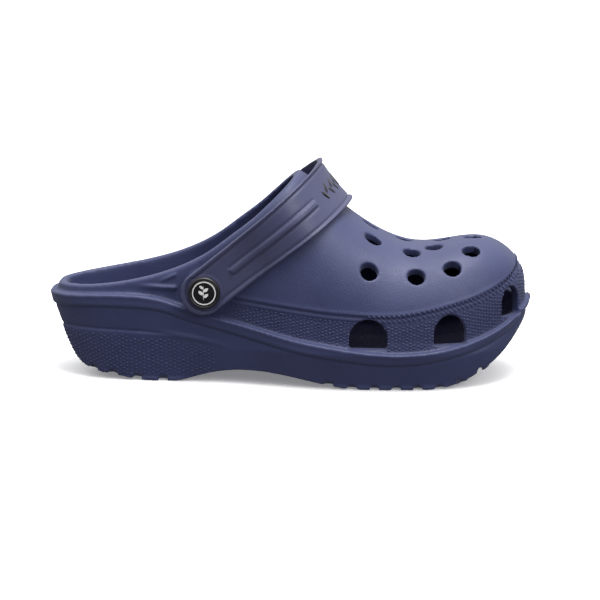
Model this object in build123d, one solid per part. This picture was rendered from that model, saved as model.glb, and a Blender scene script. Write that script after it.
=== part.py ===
from build123d import *
from math import cos, pi, radians, sin
import os

# A right-foot garden clog. Millimetres, +X to the toe, +Y to the big-toe side, +Z up,
# origin on the ground under the middle of the shoe.

# Driving dimensions of the shell
LENGTH = 290.0
HALF = LENGTH / 2
FLANGE = 4.5          # how far the ledge of the sole stands out from the upper
TOE_FLANGE = 2.6      # the same at the tip of the toe, where the bumper comes out to meet it
WALL = 5.5            # foam thickness of the upper
UPPER_ROOT = 7.0      # how deep the upper is sunk in the sole
TOE_ROUND_START = 60.0
HEEL_ROUND_START = -90.0
TOE_POWER = 2.4       # above 2 the plan outline is squarer than an ellipse
HEEL_POWER = 2.1
DOME_END = 95.0       # from here on the toe box rounds down to the tip
DOME_LEAD = 1.1       # the dome would come down this much before the tip
TOE_SKEW = 8.0        # the toe tip leans to the big-toe side
TREAD_INSET = 8.0     # how far the tread stands inside the ledge
STATIONS = 17         # cross-sections in a loft, closer together towards both ends
FIRST_STATION = 5.0   # degrees round a half-circle from the tip to the first and last of them
DOME_POINTS = 9
DOME_POWER = 2.1      # shape of the toe box falling to the tip
ACROSS_POWER = 0.78   # shape of the dome across the foot
RISE_POWER = 0.9
CORNER = 0.3          # share of the half-width taken by the cupped corners of the footbed
CORNER_RISE = 16.0

# Strap, rivets and their common axis
PIVOT_X = -47.0
PIVOT_Z = 57.0
STRAP_TILT = 39.0     # degrees above the ground, strap resting on the instep
STRAP_REACH = 93.5    # from the pivot axis to the inside of the crown
STRAP_THICK = 4.0
STRAP_END_R = 14.5
STRAP_CROWN_WIDTH = 31.0
PAD_R = 12.0
PAD_FACE = 41.3       # outer face of the flat pad under the strap end
PAD_INNER_FACE = 35.3
STRAP_INNER_FACE = 41.8
POST_R = 3.0
RUNNING = 0.08        # radial clearance of the holes on the post
BUTTON_R = 9.5
BUTTON_THICK = 2.6
BADGE_R = 7.8
BADGE_THICK = 0.7
CAP_R = 8.0
CAP_THICK = 2.4
AXIAL_PLAY = 0.3

# Openings in the upper
LATERAL, MEDIAL = -1, 1
VENT_R = 5.2
VENTS = [(49.5, -43), (51, -22), (48.5, 4), (50, 28), (69, 6), (74, -21), (77, -39.5), (76, 33), (87, -12),
         (91.5, 8), (98, -34), (98, 33), (109, -21), (110, 3)]      # (x, y) on the skin
VENT_FAN = 0.4        # how far the vents lean outwards with y
VENT_CUT = 14.0       # reach of a vent cut to either side of the skin
PORT_HEIGHT = 17.5
PORT_JAMB = 0.34      # share of the height that is upright
PORT_SILL = 1.6       # height of the sill over the ledge
PORT_DEPTH = 32.0
PORTS = {LATERAL: ((49.5, 22.5, 88), (97.5, 19.5, 72), (133.5, 17, 40)),
         MEDIAL: ((49, 22.5, 88), (98, 19.5, 72), (139, 14, 26))}     # x, width, outward way in degrees

# Tread grooves, as (x, height of the tread there)
GROOVE_WIDTH = 5.0
GROOVE_DEPTH = 2.9
GROOVES = [(-116.5, 5.0), (-104, 2.8), (-89, 0.9), (-73.6, 0), (26.3, 1.9), (40, 0.2), (53, 0), (66, 0), (78.6, 0),
           (91.5, 0.2), (104.5, 2.2), (117, 8.4)]

# Curves along the shoe, as (x, value) points
LEDGE_Z = [(-145, 50), (-105, 53), (-74, 51), (-56, 45), (-20, 36), (6, 30), (32, 26), (62, 23),
           (88, 24.5), (116, 31), (132, 38), (145, 47.5)]
TOP_Z = [(-145, 92), (-90, 110), (-35, 126), (0, 125), (13, 118), (35, 99.5), (50, 89), (65, 82.7),
         (80, 79.4), (92, 80.4), (104, 84.4), (145, 91)]
SPRING_Z = [(-145, 54), (-60, 54), (0, 44), (60, 36), (90, 37), (116, 43), (145, 54)]
FOOTBED_Z = [(-145, 36), (-110, 28), (-60, 29), (-25, 26), (10, 19), (45, 15), (85, 15), (115, 23), (145, 40)]
HALF_WIDTH = {
    LATERAL: [(-145, 38.5), (-105, 39), (-52, 40.6), (-20, 46), (10, 52.5), (45, 57), (100, 58), (145, 57)],
    MEDIAL: [(-145, 38), (-105, 38), (-52, 39.2), (-20, 42.5), (12, 50), (55, 55), (100, 54), (145, 52)],
}
MID_INSET = [(-145, 4), (-50, 4), (20, 0), (90, 0), (145, 3)]
RIM = [(-150, 54.5), (-128, 56), (-105, 59), (-81, 64), (-60, 71.3), (-45, 79.5), (-33, 88.5), (-20, 98.5),
       (-8, 109.5), (7, 124)]
HEEL_BOTTOM = [(-144, 50), (-138.8, 36), (-131, 18), (-124, 8.5), (-115, 4.6), (-101, 2.4), (-80, 0)]


def along(points, x):
    """Smooth curve through (x, value) points, without overshoot."""
    if x <= points[0][0]:
        return points[0][1]
    if x >= points[-1][0]:
        return points[-1][1]
    i = max(k for k in range(len(points) - 1) if points[k][0] <= x)
    steps = [(b[1] - a[1]) / (b[0] - a[0]) for a, b in zip(points, points[1:])]

    def slope(k):
        if k == 0 or k == len(points) - 1 or steps[k - 1] * steps[k] <= 0:
            return 0.0
        return 2 * steps[k - 1] * steps[k] / (steps[k - 1] + steps[k])

    (x0, v0), (x1, v1) = points[i], points[i + 1]
    run = x1 - x0
    t = (x - x0) / run
    return (v0 * (1 + 2 * t) * (1 - t) ** 2 + v1 * t * t * (3 - 2 * t)
            + run * t * (1 - t) * ((1 - t) * slope(i) - t * slope(i + 1)))


def round_off(share, power):
    """1 at share 0, falling round to 0 at share 1."""
    return (1 - min(share, 1.0) ** power) ** (1 / power)


def rounding(x, heel_tip, toe_tip):
    """Share of the full half-width at x: 1 along the shoe, round to 0 at both tips."""
    if x > TOE_ROUND_START:
        return round_off((x - TOE_ROUND_START) / (toe_tip - TOE_ROUND_START), TOE_POWER)
    if x < HEEL_ROUND_START:
        return round_off((HEEL_ROUND_START - x) / (HEEL_ROUND_START - heel_tip), HEEL_POWER)
    return 1.0


def edge_y(x, side, inset, toe_inset=None):
    """Y of the shoe's outline at x, a given distance inside the ledge."""
    toe_tip = HALF - (inset if toe_inset is None else toe_inset)
    middle = TOE_SKEW * max(x / HALF, 0.0) ** 2
    return middle + side * (along(HALF_WIDTH[side], x) - inset) * rounding(x, inset - HALF, toe_tip)


def outline(z, inset):
    """Closed plan outline at height z; inset is a function of x."""
    points = []
    steps = 14
    for side in (LATERAL, MEDIAL):
        for i in range(steps):
            turn = pi * (i / steps if side == LATERAL else 1 - i / steps)
            x = (HALF - inset(-HALF * cos(turn))) * -cos(turn)
            points.append((x, edge_y(x, side, inset(x)), z))
    return Wire([Edge.make_spline([Vector(*p) for p in points], periodic=True)])


def side_prism(*edges):
    """A face drawn in the XZ plane, swept across the whole width."""
    return extrude(make_face(Plane.XZ * Wire(list(edges))), HALF, both=True)


def sole():
    """Thick sole: drafted side walls, cut to the ledge line above and to the tread line below."""
    body = Solid.make_loft([outline(0, lambda x: TREAD_INSET),
                            outline(22, lambda x: along(MID_INSET, x)),
                            outline(46, lambda x: 0.0),
                            outline(56, lambda x: 0.0)], ruled=True)
    heel = Edge.make_spline([Vector(x, z) for x, z in HEEL_BOTTOM], tangents=[Vector(0.2, -1), Vector(1, 0)])
    heel_flat = Edge.make_line(HEEL_BOTTOM[-1], (-70, 0))
    arch = Edge.make_spline([Vector(-70, 0), Vector(-50, 4.3), Vector(-22, 8.7), Vector(8, 5.5), Vector(45, 0)],
                            tangents=[Vector(1, 0), Vector(1, 0)])
    ball_flat = Edge.make_line((45, 0), (85, 0))
    toe = Edge.make_spline([Vector(85, 0), Vector(110, 6), Vector(128, 17.5), Vector(140, 32), Vector(145, 44)],
                           tangents=[Vector(1, 0), Vector(0.15, 1)])
    front = Edge.make_line((145, 44), (145, 47.5))
    ledge = Edge.make_spline([Vector(x, z) for x, z in reversed(LEDGE_Z)])
    back = Edge.make_line((-145, 50), (-144, 50))
    return body & side_prism(heel, heel_flat, arch, ball_flat, toe, front, ledge, back)


def dome_frame(x, inset, toe_inset, top):
    """Middle and half-width of the dome at x, and the heights it springs from and rises by."""
    spring = along(SPRING_Z, x)
    left, right = edge_y(x, LATERAL, inset, toe_inset), edge_y(x, MEDIAL, inset, toe_inset)
    share = max(x - DOME_END, 0.0) / (HALF - toe_inset - DOME_LEAD - DOME_END)
    return (left + right) / 2, (right - left) / 2, spring, (top - spring) * round_off(share, DOME_POWER)


def section(x, inset, toe_inset, low, top, corner):
    """Tombstone cross-section of the upper: floor, side walls and a dome over them."""
    middle, half, spring, height = dome_frame(x, inset, toe_inset, top)
    dome = []
    for i in range(DOME_POINTS):
        turn = pi * i / (DOME_POINTS - 1)
        across = abs(cos(turn)) ** ACROSS_POWER * (-1 if cos(turn) > 0 else 1)
        dome.append(Vector(x, middle + half * across, spring + height * sin(turn) ** RISE_POWER))
    left, right = middle - half, middle + half
    tip = half * corner
    floor = [Vector(x, right - tip, low), Vector(x, left + tip, low)]
    shoulder = [Vector(x, left, low + corner * CORNER_RISE), Vector(x, right, low + corner * CORNER_RISE)]
    ring = [Edge.make_line(floor[0], floor[1])]
    if corner:
        ring.append(Edge.make_line(floor[1], shoulder[0]))
    ring.append(Edge.make_line(shoulder[0], dome[0]))
    ring.append(Edge.make_spline(dome, tangents=[Vector(0, 0, 1), Vector(0, 0, -1)]))
    ring.append(Edge.make_line(dome[-1], shoulder[1]))
    if corner:
        ring.append(Edge.make_line(shoulder[1], floor[0]))
    return Wire(ring)


def stations(inset, toe_inset):
    """X of the cross-sections, closer together towards both ends."""
    middle, reach = (inset - toe_inset) / 2, HALF - (inset + toe_inset) / 2
    first = radians(FIRST_STATION)
    return [middle - reach * cos(first + (pi - 2 * first) * i / (STATIONS - 1)) for i in range(STATIONS)]


def upper():
    return Solid.make_loft([section(x, FLANGE, TOE_FLANGE, along(LEDGE_Z, x) - UPPER_ROOT, along(TOP_Z, x), 0)
                            for x in stations(FLANGE, TOE_FLANGE)])


def cavity():
    """Room for the foot, down to the cupped footbed."""
    inset = FLANGE + WALL
    return Solid.make_loft([section(x, inset, inset - 2, along(FOOTBED_Z, x), along(TOP_Z, x) - WALL, CORNER)
                            for x in stations(inset, inset - 2)])


def foot_opening():
    """Everything above the rim line, from the heel up to the throat."""
    rim = Edge.make_spline([Vector(x, z) for x, z in RIM])
    (x0, z0), (x1, z1) = RIM[0], RIM[-1]
    return side_prism(rim, Edge.make_line((x1, z1), (x1 + 4, 170)), Edge.make_line((x1 + 4, 170), (x0, 170)),
                      Edge.make_line((x0, 170), (x0, z0)))


def ports():
    """Round-topped drain ports standing on the ledge, three on each side of the toe box."""
    cutters = []
    for side, places in PORTS.items():
        for x, width, aim in places:
            y = edge_y(x, side, FLANGE, TOE_FLANGE)
            spring = PORT_HEIGHT * PORT_JAMB
            door = Rectangle(width, spring, align=(Align.CENTER, Align.MIN))
            door += Pos(0, spring) * Ellipse(width / 2, PORT_HEIGHT - spring)
            door &= Rectangle(width, PORT_HEIGHT, align=(Align.CENTER, Align.MIN))
            out = Vector(cos(radians(aim)), side * sin(radians(aim)), 0)
            start = Vector(x, y, along(LEDGE_Z, x) + PORT_SILL) - out * PORT_DEPTH / 2
            plane = Plane(start, x_dir=Vector(0, 0, 1).cross(out), z_dir=out)
            cutters.append(extrude(plane * door, PORT_DEPTH))
    return cutters


def dome_z(x, y):
    """Height of the upper's outer skin over (x, y)."""
    middle, half, spring, height = dome_frame(x, FLANGE, TOE_FLANGE, along(TOP_Z, x))
    turn_cos = (abs(y - middle) / half) ** (1 / ACROSS_POWER)
    return spring + height * (1 - turn_cos ** 2) ** (RISE_POWER / 2)


def vents():
    """Round air holes over the toe box, in loose rows across it, each nearly square to the skin."""
    cutters = []
    for x, y in VENTS:
        on_skin = Vector(x, y, dome_z(x, y))
        aim = on_skin - Vector(x - 4, VENT_FAN * y, along(SPRING_Z, x))
        cutters.append(extrude(Plane(on_skin, z_dir=aim) * Circle(VENT_R), VENT_CUT, both=True))
    return cutters


def tread_grooves():
    """Round-cornered grooves across the tread that leave lugs at the heel and under the ball and toe."""
    groove = RectangleRounded(GROOVE_WIDTH, 2 * GROOVE_DEPTH, GROOVE_WIDTH / 3)
    across = extrude(Plane.XZ * groove, HALF / 2, both=True)
    return [Pos(x, 0, z) * across for x, z in GROOVES]


def disc(side, near, far, radius):
    """A disc about the pivot axis on one side of the shoe, between two distances from its middle."""
    return extrude(Plane((PIVOT_X, side * near, PIVOT_Z), z_dir=(0, side, 0)) * Circle(radius), far - near)


def shell():
    body = sole() + upper() - cavity() - foot_opening()
    body -= ports()
    body -= vents()
    body -= tread_grooves()
    for side in (LATERAL, MEDIAL):
        body += disc(side, PAD_INNER_FACE, PAD_FACE, PAD_R)
        body -= disc(side, PAD_FACE, PAD_FACE + 12, STRAP_END_R + 1.5)
        body -= disc(side, PAD_INNER_FACE - 6, PAD_INNER_FACE, CAP_R + 0.8)
        body -= disc(side, PAD_INNER_FACE - 8, PAD_FACE + 2, POST_R + RUNNING)
    return body


def band_bow(grow):
    """Filled plan of the strap, seen square to its plane; grow moves its outline outwards."""
    ends = STRAP_INNER_FACE + grow
    bow = [Vector(STRAP_END_R + 2, ends), Vector(46, 44.5 + grow), Vector(70, 42.8 + grow),
           Vector(87, 28.5 + 0.8 * grow), Vector(STRAP_REACH + grow, 0)]
    bow += [Vector(p.X, -p.Y) for p in reversed(bow[:-1])]
    back = -STRAP_END_R - 2
    return make_face(Wire([Edge.make_spline(bow, tangents=[Vector(1, 0), Vector(-1, 0)]),
                           Edge.make_line(bow[-1], (back, -ends)), Edge.make_line((back, -ends), (back, ends)),
                           Edge.make_line((back, ends), bow[0])]))


def heel_strap():
    """U-shaped band through the pivots, tilted forward to rest over the instep."""
    band = extrude(band_bow(STRAP_THICK) - band_bow(0), STRAP_CROWN_WIDTH / 2 + 4, both=True)
    crown, wide, narrow = STRAP_REACH + STRAP_THICK + 6, STRAP_CROWN_WIDTH / 2, 13
    side_view = make_face(Wire([
        Edge.make_three_point_arc((0, -narrow), (-STRAP_END_R, 0), (0, narrow)),
        Edge.make_spline([Vector(0, narrow), Vector(50, narrow + 0.3), Vector(crown, wide)]),
        Edge.make_line((crown, wide), (crown, -wide)),
        Edge.make_spline([Vector(crown, -wide), Vector(50, -narrow - 0.3), Vector(0, -narrow)]),
    ]))
    band &= extrude(Plane.XZ * side_view, 80, both=True)
    band -= Rot(90, 0, 0) * Cylinder(POST_R + RUNNING, 120)
    return Pos(PIVOT_X, 0, PIVOT_Z) * Rot(0, -STRAP_TILT, 0) * band


def rivet(side):
    """Outer button with its post, the printed badge set in it, and the cap that holds it inside."""
    under = STRAP_INNER_FACE + STRAP_THICK + AXIAL_PLAY
    button = disc(side, under, under + BUTTON_THICK, BUTTON_R)
    button = chamfer(button.edges().sort_by(Axis.Y)[-1 if side > 0 else 0], 0.5)
    button -= disc(side, under + BUTTON_THICK - BADGE_THICK, under + BUTTON_THICK + 1, BADGE_R)
    cap_face = PAD_INNER_FACE - AXIAL_PLAY
    button += disc(side, cap_face - CAP_THICK, under, POST_R)
    badge = disc(side, under + BUTTON_THICK - BADGE_THICK, under + BUTTON_THICK - 0.1, BADGE_R)
    cap = disc(side, cap_face - CAP_THICK, cap_face, CAP_R) - disc(side, cap_face - CAP_THICK, cap_face, POST_R)
    return {"rivet_button": button, "rivet_badge": badge, "backing_cap": cap}


pieces = {"shell": shell(), "heel_strap": heel_strap()}
for side_name, side_sign in (("lateral", LATERAL), ("medial", MEDIAL)):
    for piece_name, shape in rivet(side_sign).items():
        pieces[f"{side_name}_{piece_name}"] = shape

os.makedirs("parts", exist_ok=True)
for node, shape in pieces.items():
    box = shape.bounding_box()
    print(node, len(shape.solids()), "solids", round(shape.volume), [round(v, 2) for v in (*box.min, *box.max)])
    export_step(shape, f"parts/{node}.step")
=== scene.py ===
import math
import random

import bmesh
import bpy
import numpy as np
from mathutils import Matrix, Vector
from mathutils.bvhtree import BVHTree


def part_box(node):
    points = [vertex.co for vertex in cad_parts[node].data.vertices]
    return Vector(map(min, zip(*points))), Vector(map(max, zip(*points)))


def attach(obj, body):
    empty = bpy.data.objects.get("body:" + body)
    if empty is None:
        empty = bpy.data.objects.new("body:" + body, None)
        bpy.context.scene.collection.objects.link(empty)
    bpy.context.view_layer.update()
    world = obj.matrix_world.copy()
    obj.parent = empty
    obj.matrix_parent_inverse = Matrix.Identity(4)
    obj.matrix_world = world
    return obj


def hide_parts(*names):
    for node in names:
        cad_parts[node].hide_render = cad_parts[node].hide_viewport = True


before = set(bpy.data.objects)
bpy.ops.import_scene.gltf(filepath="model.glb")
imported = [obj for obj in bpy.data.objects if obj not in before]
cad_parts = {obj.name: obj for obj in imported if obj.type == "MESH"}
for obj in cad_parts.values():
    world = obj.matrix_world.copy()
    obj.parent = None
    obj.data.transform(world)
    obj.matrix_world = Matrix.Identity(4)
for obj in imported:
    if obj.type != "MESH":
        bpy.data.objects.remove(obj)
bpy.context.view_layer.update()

MM = 0.001

# ---------------------------------------------------------------------------
# Camera: low and nearly side-on to the outer side of the shoe, turned a few degrees towards the
# toe. It stands far off with a long lens, so the shoe is hardly foreshortened.
ELEVATION, TURN = math.radians(12), math.radians(3.5)
DISTANCE = 1.5
FRAME_WIDTH = 0.363
SENSOR = 36.0
AIM_HEIGHT, AIM_ACROSS, AIM_UP = 40 * MM, 6.4 * MM, 3.3 * MM
sight = Vector((-math.cos(ELEVATION) * math.sin(TURN), math.cos(ELEVATION) * math.cos(TURN),
                -math.sin(ELEVATION)))
across = Vector((math.cos(TURN), math.sin(TURN), 0))
upward = across.cross(sight)
target = Vector((0, 0, AIM_HEIGHT)) + across * AIM_ACROSS + upward * AIM_UP

camera_data = bpy.data.cameras.new("camera")
camera_data.sensor_width = SENSOR
camera_data.lens = SENSOR * DISTANCE / FRAME_WIDTH
camera_data.clip_start = 0.05
camera = bpy.data.objects.new("camera", camera_data)
bpy.context.scene.collection.objects.link(camera)
camera.matrix_world = Matrix.Translation(target - sight * DISTANCE) @ Matrix(
    (across, upward, -sight)).transposed().to_4x4()
bpy.context.scene.camera = camera
bpy.context.scene.view_settings.view_transform = "Standard"

# ---------------------------------------------------------------------------
# Floor and light: a plain white sheet of paper under a white tent that is bright overhead and
# dimmer low down, with one large soft lamp above and a weaker one from the toe side.
FLOOR_SIZE, FLOOR_GAP = 12, 0.2 * MM
DIM_SKY, LEVEL_SKY, BRIGHT_SKY = (0.10, 0.10, 0.11, 1), (0.40, 0.40, 0.41, 1), (1, 1, 1, 1)

bpy.ops.object.select_all(action="DESELECT")
bpy.ops.mesh.primitive_plane_add(size=FLOOR_SIZE, location=(0, 0, -FLOOR_GAP))
floor = bpy.context.object
floor.name = "floor"
paper = bpy.data.materials.new("white_paper")
paper.use_nodes = True
for socket, value in (("Base Color", (0.93, 0.93, 0.93, 1)), ("Roughness", 0.9),
                      ("Emission Color", (1, 1, 1, 1)), ("Emission Strength", 0.2)):
    paper.node_tree.nodes["Principled BSDF"].inputs[socket].default_value = value
floor.data.materials.append(paper)
floor.visible_diffuse = False
floor.visible_glossy = False

world = bpy.data.worlds.new("studio")
bpy.context.scene.world = world
world.use_nodes = True
sky_nodes, sky_links = world.node_tree.nodes, world.node_tree.links
direction = sky_nodes.new("ShaderNodeTexCoord")
split = sky_nodes.new("ShaderNodeSeparateXYZ")
sky_links.new(direction.outputs["Generated"], split.inputs[0])
sky = sky_nodes.new("ShaderNodeValToRGB")
sky.color_ramp.elements[0].color = DIM_SKY
sky.color_ramp.elements[1].color = BRIGHT_SKY
sky.color_ramp.elements.new(0.5).color = LEVEL_SKY
sky_links.new(split.outputs["Z"], sky.inputs["Fac"])
sky_links.new(sky.outputs["Color"], sky_nodes["Background"].inputs["Color"])
sky_nodes["Background"].inputs["Strength"].default_value = 2.0


def soft_lamp(name, place, size, watts):
    """A square lamp that faces the middle of the shoe."""
    data = bpy.data.lights.new(name, "AREA")
    data.size = size
    data.energy = watts
    lamp = bpy.data.objects.new(name, data)
    bpy.context.scene.collection.objects.link(lamp)
    lamp.location = place
    lamp.rotation_euler = (Vector((0, 0, 50 * MM)) - Vector(place)).to_track_quat("-Z", "Y").to_euler()


soft_lamp("overhead_lamp", place=(0.15, -0.2, 1.3), size=0.7, watts=16)
soft_lamp("front_lamp", place=(0.9, -1.0, 0.7), size=0.6, watts=6)

# ---------------------------------------------------------------------------
# Shell: upper, footbed and sole of the shoe, one piece of navy closed-cell foam with a soft
# satin skin. It is injected into a mould in one shot, so every edge is rounded and lips,
# grooves and ribs are part of its surface. Nothing is glued or sewn to it.
PIVOT = Vector((-47, 0, 57)) * MM        # middle of the line through both rivets

# Lengths from here on are in millimetres. Curves are (distance along the shoe, height) points.
LEDGE = [(-145, 50), (-105, 53), (-74, 51), (-56, 45), (-20, 36), (6, 30), (32, 26), (62, 23), (88, 24.5),
         (116, 31), (132, 38), (145, 47.5)]
RIM = [(-150, 54.5), (-128, 56), (-105, 59), (-81, 64), (-60, 71.3), (-45, 79.5), (-33, 88.5), (-20, 98.5),
       (-8, 109.5), (7, 124)]
RIDGE = [(-40, 55), (-31, 53.4), (6, 49), (31, 46.6), (67, 45.8), (97, 51.5), (117, 57.5), (132, 65),
         (140, 72)]
HEEL_PANEL = [(-146, 31), (-86, 30.6), (-60, 28), (-39, 23.5), (-22, 18)]
TREAD = [(-121, 6.0), (-116.5, 5.0), (-104, 2.8), (-89, 0.9), (-73.6, 0), (26.3, 1.9), (40, 0.2), (53, 0),
         (66, 0), (78.6, 0), (91.5, 0.2), (104.5, 2.2), (117, 8.4), (121.5, 11.1)]
TOE_CENTRE, HEEL_CENTRE = 85.0, -95.0    # middles of the round ends of the outline
MIDLINE = 4.0                            # the toe half leans this far to the inner side
SKIN_VOXEL = 0.8
EDGE_ROUNDS, RIM_ROUNDS, RIM_REACH, RIM_STEPS = 5, 22, 4.0, 8
FLANGE, STEP_BACK, STEP_GROOVE, LEDGE_LIP = 7.0, 1.0, 0.35, 0.4
PANEL_LIFT, PANEL_LINE, PANEL_SWELL = 0.5, 0.6, 1.0
RIDGE_LIP, BAND_DROP, RIDGE_GROOVE, RIDGE_ROPE, TOE_RECESS = 0.4, 0.45, 0.35, 0.6, 1.3
TONGUE_LIFT, TONGUE_RIB = 1.5, 1.1
NOTCH_HALF, NOTCH_DEPTH, WEB_FILL = 3.4, 3.4, 0.85
MOST_TRIANGLES = 186000


def along(points, x):
    """Height of the smooth curve through (x, value) points, for one x or many."""
    px, pv = (np.array(c, float) for c in zip(*points))
    step = np.diff(pv) / np.diff(px)
    slope = np.zeros(len(px))
    slope[1:-1] = (step[1:] + step[:-1]) / 2
    x = np.clip(x, px[0], px[-1])
    i = np.clip(np.searchsorted(px, x, side="right") - 1, 0, len(px) - 2)
    run = px[i + 1] - px[i]
    t = (x - px[i]) / run
    return (pv[i] * (1 + 2 * t) * (1 - t) ** 2 + pv[i + 1] * t * t * (3 - 2 * t)
            + run * t * (1 - t) * ((1 - t) * slope[i] - t * slope[i + 1]))


def bead(distance, width):
    """Round-topped line: 1 on the line, fading out over its half-width."""
    return np.exp(-(distance / width) ** 2)


def rise(value, start, end):
    """0 before start, 1 after end, smooth between."""
    t = np.clip((value - start) / (end - start), 0, 1)
    return t * t * (3 - 2 * t)


def select_only(piece):
    """Deselects everything else and makes the piece active."""
    bpy.ops.object.select_all(action="DESELECT")
    piece.select_set(True)
    bpy.context.view_layer.objects.active = piece


def foam_copy(name, node, voxel, rounds):
    """Copy of a CAD solid with an even skin and softly rounded edges."""
    piece = bpy.data.objects.new(name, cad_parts[node].data.copy())
    bpy.context.scene.collection.objects.link(piece)
    piece.data.materials.clear()
    select_only(piece)
    bpy.ops.object.mode_set(mode="EDIT")
    bpy.ops.mesh.select_all(action="SELECT")
    bpy.ops.mesh.remove_doubles(threshold=0.02 * MM)
    bpy.ops.object.mode_set(mode="OBJECT")
    skin = piece.modifiers.new("skin", "REMESH")
    skin.mode = "VOXEL"
    skin.voxel_size = voxel * MM
    bpy.ops.object.modifier_apply(modifier="skin")
    soften(piece, rounds)
    return piece


def soften(piece, rounds, group=""):
    """Rounds the edges of a piece, or only of one vertex group."""
    select_only(piece)
    round_off = piece.modifiers.new("round_off", "SMOOTH")
    round_off.factor = 0.5
    round_off.iterations = rounds
    round_off.vertex_group = group
    bpy.ops.object.modifier_apply(modifier="round_off")


def read_skin(piece):
    """Vertex places in millimetres and unit normals."""
    count = len(piece.data.vertices)
    places, normals = np.empty(count * 3), np.empty(count * 3)
    piece.data.vertices.foreach_get("co", places)
    piece.data.vertex_normals.foreach_get("vector", normals)
    return places.reshape(-1, 3) / MM, normals.reshape(-1, 3)


def press_skin(piece, places, normals, depth):
    """Moves every point along its normal by its depth in millimetres."""
    piece.data.vertices.foreach_set("co", ((places + normals * depth[:, None]) * MM).ravel())
    piece.data.update()


def outward(places, normals):
    """1 on the outer skin, 0 on the walls and floor inside."""
    x, y = places[:, 0], places[:, 1]
    radial = np.stack([x - np.clip(x, HEEL_CENTRE, TOE_CENTRE), y - MIDLINE * rise(x, 0, 140)], 1)
    radial /= np.linalg.norm(radial, axis=1)[:, None] + 1e-6
    return rise((radial * normals[:, :2]).sum(1), 0.15, 0.5)


def from_pivot(x, z):
    """Distance from the rivets' axis, seen from the side."""
    return np.hypot(x - PIVOT.x / MM, z - PIVOT.z / MM)


shell = foam_copy("clog_shell", "shell", SKIN_VOXEL, EDGE_ROUNDS)

# The rim round the foot opening is rolled, so it is much rounder than the other edges.
places, normals = read_skin(shell)
near_rim = bead(places[:, 2] - along(RIM, places[:, 0]), RIM_REACH) * (1 - rise(places[:, 0], 2, 10))
rim_group = shell.vertex_groups.new(name="rim")
for level in range(1, RIM_STEPS + 1):
    members = np.nonzero(np.round(near_rim * RIM_STEPS) == level)[0].tolist()
    rim_group.add(members, level / RIM_STEPS, "REPLACE")
soften(shell, RIM_ROUNDS, "rim")

places, normals = read_skin(shell)
x, y, z = places.T
skin = outward(places, normals)
clear_of_pivot = rise(from_pivot(x, z), 14.0, 18.0)
toe = rise(x, 60, 125)

# Ledge: a flange with a soft lip. The wall under it steps back, with a groove in the corner that
# is deeper and wider round the toe.
over_ledge = z - along(LEDGE, x)
step = over_ledge + FLANGE - 1.2 * toe
depth = -STEP_BACK * skin * (1 - rise(step, -0.9, 0.3)) * rise(z, 0.5, 3)
depth -= (STEP_GROOVE + 0.75 * toe) * skin * bead(step + 0.7, 1.1 + 0.5 * toe)
depth += LEDGE_LIP * skin * bead(over_ledge + 1.0, 1.1)

# Heel panel: stands out a little below its upper line, and swells where the line runs out.
panel = along(HEEL_PANEL, x) - z
depth += PANEL_LIFT * skin * rise(panel, -0.2, 0.6) * (1 - rise(x, -72, -40))
depth -= PANEL_LINE * skin * bead(panel, 0.8) * (1 - rise(x, -80, -60))
depth += PANEL_SWELL * skin * bead(panel + 0.4, 1.4) * bead(x + 58, 17)

# Ridge and band: a double line along the upper edge of the band, which lies a little deeper than
# the vamp, and deeper again round the toe.
over_ridge = z - along(RIDGE, x)
front = rise(x, -40, -28) * rise(z, 26, 30)
band = front * rise(-over_ridge, 0.4, 1.6) * rise(over_ledge, 0.2, 1.0)
waist = 1 - rise(x, 40, 70)
depth += RIDGE_LIP * skin * front * bead(over_ridge - 0.2, 1.0)
depth -= BAND_DROP * skin * band
depth -= RIDGE_GROOVE * skin * front * bead(over_ridge + 1.5, 0.8) * waist
depth += RIDGE_ROPE * skin * front * bead(over_ridge + 3.2, 1.1) * waist
depth -= TOE_RECESS * skin * front * bead(over_ridge + 2.5, 3.0) * rise(x, 120, 138)

# Two low ribs behind the strap's round end: a level tongue, and a thin one that climbs from it.
behind_pivot = 1 - rise(x, -65.5, -64)
tongue = z - 58.6 + 0.03 * (x + 86)
tongue_top = rise(tongue, -3.2, -0.4) * (1 - rise(tongue, 0.2, 1.2))
thin_rib = bead(z - 62.2 - 0.45 * (x + 72), 0.9)
depth += TONGUE_LIFT * skin * tongue_top * rise(x, -90, -74) * behind_pivot
depth += TONGUE_RIB * skin * thin_rib * rise(x, -77, -69) * behind_pivot
press_skin(shell, places, normals, depth * clear_of_pivot)

# Tread: a low web crosses each groove just inside the edge of the sole, so from the side the
# grooves are short dark notches.
places, normals = read_skin(shell)
x, y, z = places.T
over_tread = z - along(TREAD, x)
to_groove = np.abs(x[:, None] - np.array([middle for middle, _ in TREAD[1:-1]])).min(1)
low = over_tread < 3.0
slice_length, slice_count = 3, 121
slices = np.round(x / slice_length).astype(int) + slice_count // 2
inside = np.full(len(x), np.inf)         # distance in from the edge of the sole
for side in (-1, 1):
    edge = np.full(slice_count, -99.0)
    np.maximum.at(edge, slices[low], side * y[low])
    inside = np.minimum(inside, edge[slices] - side * y)
web = rise(inside, 1.5, 4.5) * (1 - rise(inside, 14, 18))
web[(to_groove > NOTCH_HALF) | (over_tread < 0) | (over_tread > NOTCH_DEPTH)] = 0
places[:, 2] -= WEB_FILL * web * over_tread
press_skin(shell, places, normals, np.zeros(len(x)))
soften(shell, 1)

select_only(shell)
thin = shell.modifiers.new("thin", "DECIMATE")
thin.ratio = min(1.0, MOST_TRIANGLES / (2 * len(shell.data.polygons)))
bpy.ops.object.modifier_apply(modifier="thin")
bpy.ops.object.shade_smooth()


CLOUDS, SPECKS, SCUFFS, CELLS, SWELLS = 28, 1400, 60, 1100, 45     # repeats of each pattern in a metre


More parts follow.
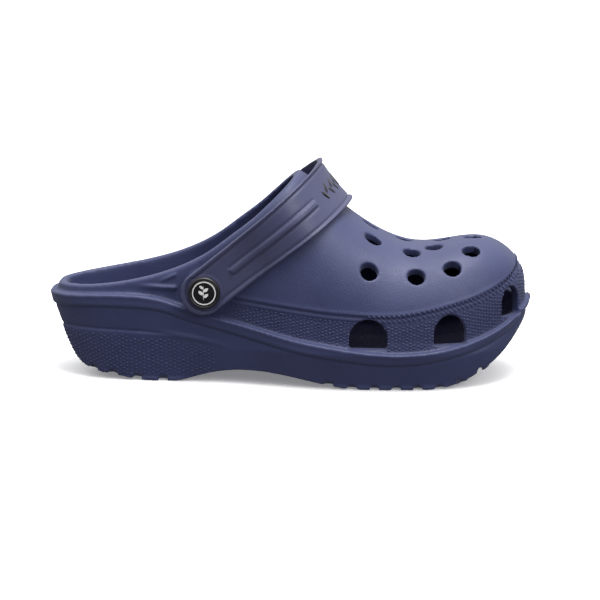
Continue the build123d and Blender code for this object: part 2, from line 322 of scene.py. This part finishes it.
def foam(name, deep, pale, roughness, grain, shine=0.42):
    """Satin closed-cell foam: cloudy colour, fine leathery grain, and a little dull scuffing."""
    material = bpy.data.materials.new(name)
    material.use_nodes = True
    nodes, links = material.node_tree.nodes, material.node_tree.links
    shader = nodes["Principled BSDF"]
    place = nodes.new("ShaderNodeTexCoord")

    def noise(scale, detail):
        """Noise on the piece's own coordinates."""
        texture = nodes.new("ShaderNodeTexNoise")
        texture.inputs["Scale"].default_value = scale
        texture.inputs["Detail"].default_value = detail
        links.new(place.outputs["Object"], texture.inputs["Vector"])
        return texture.outputs["Fac"]

    def span(source, low, high, to_low, to_high):
        """Stretches low..high to to_low..to_high."""
        reach = nodes.new("ShaderNodeMapRange")
        ends = {"From Min": low, "From Max": high, "To Min": to_low, "To Max": to_high}
        for socket, value in ends.items():
            reach.inputs[socket].default_value = value
        links.new(source, reach.inputs["Value"])
        return reach.outputs["Result"]

    cloud = nodes.new("ShaderNodeMix")
    cloud.data_type = "RGBA"
    cloud.inputs["A"].default_value = (*deep, 1)
    cloud.inputs["B"].default_value = (*pale, 1)
    links.new(span(noise(CLOUDS, 4), 0.3, 0.7, 0, 1), cloud.inputs["Factor"])
    speck = nodes.new("ShaderNodeMix")
    speck.data_type = "RGBA"
    speck.blend_type = "MULTIPLY"
    speck.inputs["Factor"].default_value = 0.35
    links.new(cloud.outputs["Result"], speck.inputs["A"])
    links.new(span(noise(SPECKS, 2), 0.3, 0.7, 0.75, 1.15), speck.inputs["B"])
    links.new(speck.outputs["Result"], shader.inputs["Base Color"])
    scuffed = span(noise(SCUFFS, 6), 0.35, 0.65, roughness - 0.05, roughness + 0.07)
    links.new(scuffed, shader.inputs["Roughness"])
    cells = nodes.new("ShaderNodeTexVoronoi")
    cells.inputs["Scale"].default_value = CELLS
    links.new(place.outputs["Object"], cells.inputs["Vector"])
    fine = nodes.new("ShaderNodeBump")
    fine.inputs["Strength"].default_value = grain
    fine.inputs["Distance"].default_value = 0.2 * MM
    links.new(cells.outputs["Distance"], fine.inputs["Height"])
    uneven = nodes.new("ShaderNodeBump")
    uneven.inputs["Strength"].default_value = 0.12
    uneven.inputs["Distance"].default_value = 1.5 * MM
    links.new(noise(SWELLS, 3), uneven.inputs["Height"])
    links.new(fine.outputs["Normal"], uneven.inputs["Normal"])
    links.new(uneven.outputs["Normal"], shader.inputs["Normal"])
    shader.inputs["Specular IOR Level"].default_value = shine
    shader.inputs["Sheen Weight"].default_value = shine / 4
    shader.inputs["Sheen Roughness"].default_value = 0.5
    return material


shell_foam = foam("navy_shell_foam", deep=(0.030, 0.038, 0.105), pale=(0.038, 0.046, 0.122),
                  roughness=0.5, grain=0.35)
# Band foam: a darker navy, painted shade that stands in for the shadow in the pits between the band's
# grains.
band_pit_shade_foam = foam("navy_band_painted_pit_shade", deep=(0.021, 0.027, 0.084), pale=(0.028, 0.035, 0.098),
                   roughness=0.56, grain=0.5)
# Toe box foam: a much darker, less shiny copy of the navy, painted shade on the inner walls of the toe box
# where little light reaches.
toe_box_shade_foam = foam("navy_toe_box_painted_shade", deep=(0.012, 0.012, 0.036), pale=(0.016, 0.016, 0.044),
                  roughness=0.8, grain=0.5, shine=0.08)
BAND_PIT_SHADE, TOE_BOX_SHADE = 1, 2               # material slots after the plain skin: the band with painted pit shade, the toe box with painted shade
for material in (shell_foam, band_pit_shade_foam, toe_box_shade_foam):
    shell.data.materials.append(material)
count = len(shell.data.polygons)
middles, facings = np.empty(count * 3), np.empty(count * 3)
shell.data.polygons.foreach_get("center", middles)
shell.data.polygons.foreach_get("normal", facings)
middles, facings = middles.reshape(-1, 3) / MM, facings.reshape(-1, 3)
x, y, z = middles.T
on_band = (x > -42) & (z > along(LEDGE, x) + 0.6) & (z < along(RIDGE, x) - 0.6)
on_band &= (from_pivot(x, z) > 16) & (outward(middles, facings) > 0.5)
# Faces inside the toe box that face into the foot opening get the painted shade.
off_centre = np.stack([x - np.minimum(x, TOE_CENTRE), y - MIDLINE], 1)
toward_room = ((45 - z) * facings[:, 2] - (off_centre * facings[:, :2]).sum(1)) > 0
shaded_toe_box_faces = (x > 12) & toward_room & (np.linalg.norm(off_centre, axis=1) < 38 + 9 * rise(x, 12, 50))
finish = np.where(shaded_toe_box_faces, TOE_BOX_SHADE, on_band * BAND_PIT_SHADE)
shell.data.polygons.foreach_set("material_index", finish.astype(np.int32))
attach(shell, "shoe")
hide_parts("shell")
shell_tree = BVHTree.FromObject(shell, bpy.context.evaluated_depsgraph_get())

# ---------------------------------------------------------------------------
# Moulded texture: small raised grains on the band over the ledge and on the heel panel, a row
# of short bars along the band's upper edge, and soft nubs on the footbed. The mould gives them
# with the shell, so they are the same foam.
GRAIN_SIDES = 6
FAR = 90.0                               # rays start this far out, in millimetres
RAY_LENGTH = 64.0
UP = Vector((0, 0, 1))


def grain(mesh, place, normal, lead, length, width, height):
    """One low grain standing on the skin, longer along lead."""
    lead = (lead - normal * lead.dot(normal)).normalized()
    side = normal.cross(lead)
    rings = []
    for share, lift in ((1.0, -0.25), (0.62, 0.75)):       # foot, sunk a little, and shoulder
        ring = []
        for k in range(GRAIN_SIDES):
            turn = 2 * math.pi * k / GRAIN_SIDES
            offset = (lead * math.cos(turn) * length + side * math.sin(turn) * width) * share * 0.5
            ring.append(mesh.verts.new(place + (offset + normal * height * lift) * MM))
        rings.append(ring)
    top = mesh.verts.new(place + normal * height * MM)
    for k in range(GRAIN_SIDES):
        following = (k + 1) % GRAIN_SIDES
        mesh.faces.new((rings[0][k], rings[0][following], rings[1][following], rings[1][k]))
        mesh.faces.new((rings[1][k], rings[1][following], top))
    mesh.faces.new(rings[0][::-1])


def round_end(centre, length, arc_radius, spacing):
    """Places far out round one end of the shoe, each with the level way in to the skin."""
    found = []
    ahead = 1 if centre > 0 else -1
    for side in (-1, 1):
        for i in range(int(length / spacing)):
            start = Vector((centre - ahead * (i + 1) * spacing, side * FAR, 0))
            found.append((start, Vector((0, -side, 0))))
    turns = int(math.pi * arc_radius / spacing)
    for i in range(turns + 1):
        turn = math.pi * (i / turns - 0.5)
        out = Vector((ahead * math.cos(turn), math.sin(turn), 0))
        found.append((Vector((centre, 0, 0)) + out * FAR, -out))
    return found


def meet(start, way, height):
    """Where a level ray meets the near outer skin: (place in metres, normal) or None."""
    place, normal, _, _ = shell_tree.ray_cast(Vector((start.x, start.y, height)) * MM, way, RAY_LENGTH * MM)
    if place is None or normal.dot(way) > -0.45:
        return None
    return place, normal


def grain_field(mesh, places, lower, upper, probe, pitch, length, height, unevenness):
    """Columns of grains between two curves along the shoe, every second column half a step up."""
    for number, (start, way) in enumerate(places):
        found = meet(start, way, probe) or meet(start, way, probe + 12)
        if found is None:
            continue
        low, high = (float(curve(found[0].x / MM)) for curve in (lower, upper))
        for row in range(int((high - low) / pitch)):
            hit = meet(start, way, low + pitch * (row + 0.5 * (number % 2)))
            if hit is None:
                continue
            jitter = Vector([random.uniform(-unevenness, unevenness) for _ in range(3)]) * MM
            size = length * random.uniform(1 - unevenness, 1)
            grain(mesh, hit[0] + jitter, hit[1], UP.cross(hit[1]), size, size * 0.85, height)


def finish_grains(mesh, name, body="shoe", material=shell_foam):
    """Makes one piece of all the grains in the mesh."""
    data = bpy.data.meshes.new(name)
    mesh.normal_update()
    mesh.to_mesh(data)
    mesh.free()
    piece = bpy.data.objects.new(name, data)
    bpy.context.scene.collection.objects.link(piece)
    data.shade_smooth()
    data.materials.append(material)
    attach(piece, body)


random.seed(4)
band_grains = bmesh.new()
grain_field(band_grains, round_end(TOE_CENTRE, length=114, arc_radius=54, spacing=2.15),
            lower=lambda x: along(LEDGE, x) + 1.9, upper=lambda x: along(RIDGE, x) - 4.6,
            probe=50, pitch=1.95, length=1.7, height=0.4, unevenness=0.16)
finish_grains(band_grains, "band_grains")

heel_grains = bmesh.new()
grain_field(heel_grains, round_end(HEEL_CENTRE, length=52, arc_radius=42, spacing=2.6),
            lower=lambda x: 4.0, upper=lambda x: along(HEEL_PANEL, x) - 1.6,
            probe=22, pitch=2.3, length=2.0, height=0.36, unevenness=0.16)
finish_grains(heel_grains, "heel_grains")

# One row of level bars at the waist; round the toe it becomes two rows of slanted ones, like rope.
TOE_ROWS, WAIST_ROWS = (0.9, 3.6), (5.2,)
bars = bmesh.new()
for start, way in round_end(TOE_CENTRE, length=118, arc_radius=54, spacing=2.9):
    found = meet(start, way, 66) or meet(start, way, 52)
    if found is None:
        continue
    reach = found[0].x / MM
    toe = float(rise(reach, 36, 60))
    for drop in TOE_ROWS if toe > 0.5 else WAIST_ROWS:
        hit = meet(start, way, float(along(RIDGE, reach)) - drop)
        if hit is None:
            continue
        level = UP.cross(hit[1])
        slant = level * (1 - 0.5 * toe) + UP * 0.9 * toe * (-1 if level.x > 0 else 1)
        grain(bars, hit[0], hit[1], slant,
              length=1.9 + 1.5 * toe, width=1.1 + 0.3 * toe, height=0.5 + 0.2 * toe)
finish_grains(bars, "ridge_bars")

# Nubs in staggered rows on the flat of the footbed, from the heel to where the toe box begins.
NUB_SIZE, NUB_PITCH, NUB_ROW_PITCH, FIRST_NUB, OVER_FOOTBED = 2.8, 9, 5.6, -126, 44
nubs = bmesh.new()
for i in range(15):
    for j in range(-6, 7):
        stagger = NUB_PITCH / 2 if j % 2 else 0
        at = Vector((FIRST_NUB + NUB_PITCH * i + stagger, NUB_ROW_PITCH * j, OVER_FOOTBED))
        place, normal, _, _ = shell_tree.ray_cast(at * MM, -UP)
        if place is None or normal.z < 0.85:
            continue
        grain(nubs, place, normal, Vector((1, 0, 0)), NUB_SIZE, NUB_SIZE, height=0.5)
finish_grains(nubs, "footbed_nubs")

# ---------------------------------------------------------------------------
# Heel strap: one moulded foam band with a round end at each side. A rolled lip runs round its
# outline and a low rib along each arm. It hangs on the two rivets and turns on their posts.
TILT = math.radians(39.0)
STRAP_VOXEL = 0.6
END_RADIUS = 13.6
ARM_HALF, CROWN_GAIN, BOW_MIDDLE = 13.0, 2.5, 45
FACE_DROP, CROWN_HOLLOW, LIP_GROOVE = 0.8, 1.1, 0.55
RIB_LIFT, RIB_GROOVE, RIB_OFFSET, PRESS_RING = 1.0, 0.5, 0.4, 0.3


def on_strap(places):
    """Along and across the strap's own plane, from the pivot axis."""
    x, z = places[:, 0] - PIVOT.x / MM, places[:, 2] - PIVOT.z / MM
    return x * math.cos(TILT) + z * math.sin(TILT), z * math.cos(TILT) - x * math.sin(TILT)


strap = foam_copy("strap_band", "heel_strap", STRAP_VOXEL, 3)
places, normals = read_skin(strap)
reach, cross = on_strap(places)
y = places[:, 1]

# Only the outer face is shaped: it points away from the middle of the bow.
radial = np.stack([np.maximum(reach - BOW_MIDDLE, 0), y], 1)
radial /= np.linalg.norm(radial, axis=1)[:, None] + 1e-6
lead = normals[:, 0] * math.cos(TILT) + normals[:, 2] * math.sin(TILT)
outside = rise(radial[:, 0] * lead + radial[:, 1] * normals[:, 1], 0.3, 0.7)
half = ARM_HALF + CROWN_GAIN * rise(reach, 10, 100)
from_edge = np.where(reach < 0, END_RADIUS - np.hypot(reach, cross), np.maximum(half - np.abs(cross), 0))

# The face lies lower than the lip round it, with a groove inside the lip, and is hollow at the
# crown. The rib stands up to the lip's height between two grooves.
crown = rise(reach, 74, 96)
on_face = rise(from_edge, 1.8, 2.8)
depth = -(FACE_DROP + 0.2 * crown) * outside * on_face
depth -= CROWN_HOLLOW * outside * crown * (1 - (cross / (ARM_HALF + CROWN_GAIN)) ** 2).clip(0, 1)
depth -= LIP_GROOVE * outside * bead(from_edge - 3.0, 0.8)
off_rib = np.abs(cross + RIB_OFFSET)
on_rib = rise(reach, 19, 20.5) * (1 - rise(reach, 83.5, 85))
depth += RIB_LIFT * outside * (1 - rise(off_rib, 1.3, 2.1)) * on_rib
depth -= RIB_GROOVE * outside * bead(off_rib - 2.7, 0.8) * on_rib
under_button = 1 - rise(np.hypot(reach, cross), 9.8, 10.8)
depth += PRESS_RING * outside * under_button
press_skin(strap, places, normals, depth)
soften(strap, 1)
select_only(strap)
bpy.ops.object.shade_smooth()
strap_foam = foam("navy_strap_foam", deep=(0.044, 0.047, 0.106), pale=(0.052, 0.056, 0.120),
                  roughness=0.42, grain=0.25)
strap.data.materials.append(strap_foam)
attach(strap, "strap")
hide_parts("heel_strap")

# A short row of dark leaf shapes is printed on the middle of the strap, leaning by turns to each
# side of its middle line.
LEAF_PITCH, LEAF_STAGGER, RAY_START = 4.0, 1.8, 140
strap_tree = BVHTree.FromObject(strap, bpy.context.evaluated_depsgraph_get())
forward = Vector((math.cos(TILT), 0, math.sin(TILT)))
width_way = Vector((-math.sin(TILT), 0, math.cos(TILT)))
leaves = bmesh.new()
for k in range(-6, 7):
    lean = 1 if k % 2 else -1
    aside = Vector((0, LEAF_PITCH * k, 0)) + width_way * LEAF_STAGGER * lean
    start = PIVOT + (forward * RAY_START + aside) * MM
    place, normal, _, _ = strap_tree.ray_cast(start, -forward)
    if place:
        grain(leaves, place, normal, width_way + Vector((0, 0.6 * lean, 0)),
              length=8.5, width=3.2, height=0.35)
dark_print = foam("dark_print", deep=(0.006, 0.006, 0.008), pale=(0.010, 0.010, 0.014),
                  roughness=0.4, grain=0.1)
finish_grains(leaves, "strap_leaf_row", "strap", dark_print)

# ---------------------------------------------------------------------------
# Rivets: on each side a black button with a rounded edge, whose post goes through strap and
# shell, a thin printed badge set in it, and a round cap snapped on the post inside the shoe.
# Badge prints are generic: a leaf sprig in a plain ring.
FLOW_MARKS = 260                         # repeats in a metre
BUTTON_HEIGHT, POST_RADIUS, BADGE_SEAT = 2.6, 3.0, 0.8
PRINT_SINK, PRINT_HEIGHT = 0.3, 0.34
RING_INNER, RING_OUTER, RING_PIECES = 6.35, 7.0, 60
SPRIG_FOOT, STEM_LENGTH, STEM_WIDTH = Vector((-0.3, -4.6)), 9.4, 0.22
SPRIG_LEAVES = ((2.0, 3.6), (3.6, 3.8), (5.4, 3.6), (7.2, 3.0))       # (place up the stem, length)
LEAF_LEAN, LEAF_WIDTH = 52, 0.26         # degrees from the stem, and width as a share of length
BADGE_TURN = 28                          # the buttons turn freely, so the print stands askew
STEM_TURN = BADGE_TURN + 62


def plastic(name, colour, roughness, wear):
    """Moulded hard plastic with faint flow marks and fine scratches."""
    material = bpy.data.materials.new(name)
    material.use_nodes = True
    nodes, links = material.node_tree.nodes, material.node_tree.links
    shader = nodes["Principled BSDF"]
    place = nodes.new("ShaderNodeTexCoord")
    cloud = nodes.new("ShaderNodeTexNoise")
    cloud.inputs["Scale"].default_value = FLOW_MARKS
    cloud.inputs["Detail"].default_value = 5
    links.new(place.outputs["Object"], cloud.inputs["Vector"])
    ramp = nodes.new("ShaderNodeValToRGB")
    ramp.color_ramp.elements[0].position, ramp.color_ramp.elements[1].position = 0.35, 0.7
    ramp.color_ramp.elements[0].color = (*[c * (1 - wear) for c in colour], 1)
    ramp.color_ramp.elements[1].color = (*[min(c * (1 + wear), 1) for c in colour], 1)
    links.new(cloud.outputs["Fac"], ramp.inputs["Fac"])
    links.new(ramp.outputs["Color"], shader.inputs["Base Color"])
    gloss = nodes.new("ShaderNodeMapRange")
    gloss.inputs["To Min"].default_value, gloss.inputs["To Max"].default_value = roughness, roughness + 0.12
    links.new(cloud.outputs["Fac"], gloss.inputs["Value"])
    links.new(gloss.outputs["Result"], shader.inputs["Roughness"])
    bump = nodes.new("ShaderNodeBump")
    bump.inputs["Strength"].default_value = 0.08
    bump.inputs["Distance"].default_value = 0.2 * MM
    links.new(cloud.outputs["Fac"], bump.inputs["Height"])
    links.new(bump.outputs["Normal"], shader.inputs["Normal"])
    return material


button_black = plastic("button_black", (0.006, 0.006, 0.009), roughness=0.42, wear=0.3)
badge_black = plastic("badge_black", (0.003, 0.003, 0.004), roughness=0.2, wear=0.3)
badge_silver = plastic("badge_silver", (0.72, 0.72, 0.70), roughness=0.3, wear=0.06)
cap_navy = plastic("cap_navy", (0.02, 0.023, 0.05), roughness=0.38, wear=0.15)


def turned(name, side, profile):
    """Round piece about the pivot axis; profile is (radius, distance from the shoe's middle)."""
    data = bpy.data.meshes.new(name)
    data.from_pydata([(PIVOT.x + r * MM, side * d * MM, PIVOT.z) for r, d in profile],
                     [(k, k + 1) for k in range(len(profile) - 1)], [])
    piece = bpy.data.objects.new(name, data)
    bpy.context.scene.collection.objects.link(piece)
    select_only(piece)
    bpy.ops.object.mode_set(mode="EDIT")
    bpy.ops.mesh.select_all(action="SELECT")
    bpy.ops.mesh.spin(steps=72, angle=2 * math.pi, center=(PIVOT.x, 0, PIVOT.z), axis=(0, 1, 0))
    bpy.ops.mesh.select_all(action="SELECT")
    bpy.ops.mesh.remove_doubles(threshold=0.005 * MM)
    bpy.ops.mesh.normals_make_consistent(inside=False)
    bpy.ops.object.mode_set(mode="OBJECT")
    bpy.ops.object.shade_smooth_by_angle(angle=math.radians(40))
    return piece


def raised_print(name, side, outlines, near, height):
    """Flat printed shapes, raised a little; each outline is a list of (x, z) about the pivot axis."""
    mesh = bmesh.new()
    for outline in outlines:
        face = mesh.faces.new([mesh.verts.new((PIVOT.x + u * MM, side * near * MM, PIVOT.z + v * MM))
                               for u, v in outline])
        top = bmesh.ops.extrude_face_region(mesh, geom=[face])["geom"]
        for vert in [g for g in top if isinstance(g, bmesh.types.BMVert)]:
            vert.co.y += side * height * MM
    bmesh.ops.recalc_face_normals(mesh, faces=mesh.faces)
    data = bpy.data.meshes.new(name)
    mesh.to_mesh(data)
    mesh.free()
    piece = bpy.data.objects.new(name, data)
    bpy.context.scene.collection.objects.link(piece)
    return piece


def leaf(base, length, width, turn):
    """Pointed leaf outline growing from base towards an angle in degrees."""
    ends = [(t / 8, math.sin(math.pi * t / 8) ** 0.8) for t in range(9)]
    edge = [(length * t, width * w) for t, w in ends]
    edge += [(length * t, -width * w) for t, w in ends[-2:0:-1]]
    c, s = math.cos(math.radians(turn)), math.sin(math.radians(turn))
    return [(base[0] + u * c - v * s, base[1] + u * s + v * c) for u, v in edge]


def ring_parts(inner, outer, pieces):
    """A ring as quads, so that each is a flat printed shape."""
    shapes = []
    for k in range(pieces):
        a, b = 2 * math.pi * k / pieces, 2 * math.pi * (k + 1) / pieces
        corners = ((inner, a), (outer, a), (outer, b), (inner, b))
        shapes.append([(r * math.cos(t), r * math.sin(t)) for r, t in corners])
    return shapes


def sprig():
    """Outlines of a thin stem and four leaves that lean by turns to either side."""
    shapes = [leaf(SPRIG_FOOT, STEM_LENGTH, STEM_WIDTH, STEM_TURN)]
    stem = Vector((math.cos(math.radians(STEM_TURN)), math.sin(math.radians(STEM_TURN))))
    for k, (at, size) in enumerate(SPRIG_LEAVES):
        lean = LEAF_LEAN if k % 2 else -LEAF_LEAN
        shapes.append(leaf(SPRIG_FOOT + stem * at, size, size * LEAF_WIDTH, STEM_TURN + lean))
    return shapes


for side_name, side in (("lateral", -1), ("medial", 1)):
    button_high = max(abs(v.y / MM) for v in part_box(side_name + "_rivet_button"))
    cap_in, cap_out = sorted(abs(v.y / MM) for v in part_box(side_name + "_backing_cap"))
    under, seat = button_high - BUTTON_HEIGHT, button_high - BADGE_SEAT
    button = turned(side_name + "_button", side, [
        (0, cap_in), (2.6, cap_in), (POST_RADIUS, cap_in + 0.4), (POST_RADIUS, under), (8.9, under),
        (9.4, under + 0.25), (9.55, under + 0.8), (9.5, under + 1.6), (9.2, under + 2.2),
        (8.7, button_high), (8.2, button_high - 0.05), (7.85, button_high - 0.35), (7.8, seat), (0, seat)])
    button.data.materials.append(button_black)
    badge = turned(side_name + "_badge", side, [
        (0, seat), (7.7, seat), (7.75, button_high - 0.45), (7.5, button_high - 0.25),
        (6, button_high - 0.15), (3, button_high - 0.06), (0, button_high - 0.02)])
    badge.data.materials.append(badge_black)
    print_shapes = raised_print(side_name + "_badge_print", side,
                                sprig() + ring_parts(RING_INNER, RING_OUTER, RING_PIECES),
                                button_high - PRINT_SINK, PRINT_HEIGHT)
    print_shapes.data.materials.append(badge_silver)
    cap = turned(side_name + "_cap", side, [
        (POST_RADIUS, cap_in), (5.2, cap_in), (5.6, cap_in + 0.25), (6.0, cap_in + 0.1),
        (6.9, cap_in + 0.3), (7.7, cap_in + 0.9), (8.0, cap_in + 1.6), (7.9, cap_out - 0.2),
        (7.6, cap_out), (POST_RADIUS, cap_out), (POST_RADIUS, cap_in)])
    cap.data.materials.append(cap_navy)
    for piece, node, slot in ((button, "_rivet_button", "button_plastic"),
                              (badge, "_rivet_badge", "badge_print"),
                              (print_shapes, None, "badge_print"),
                              (cap, "_backing_cap", "cap_plastic")):
        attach(piece, side_name + "_rivet")
        if node:
            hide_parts(side_name + node)
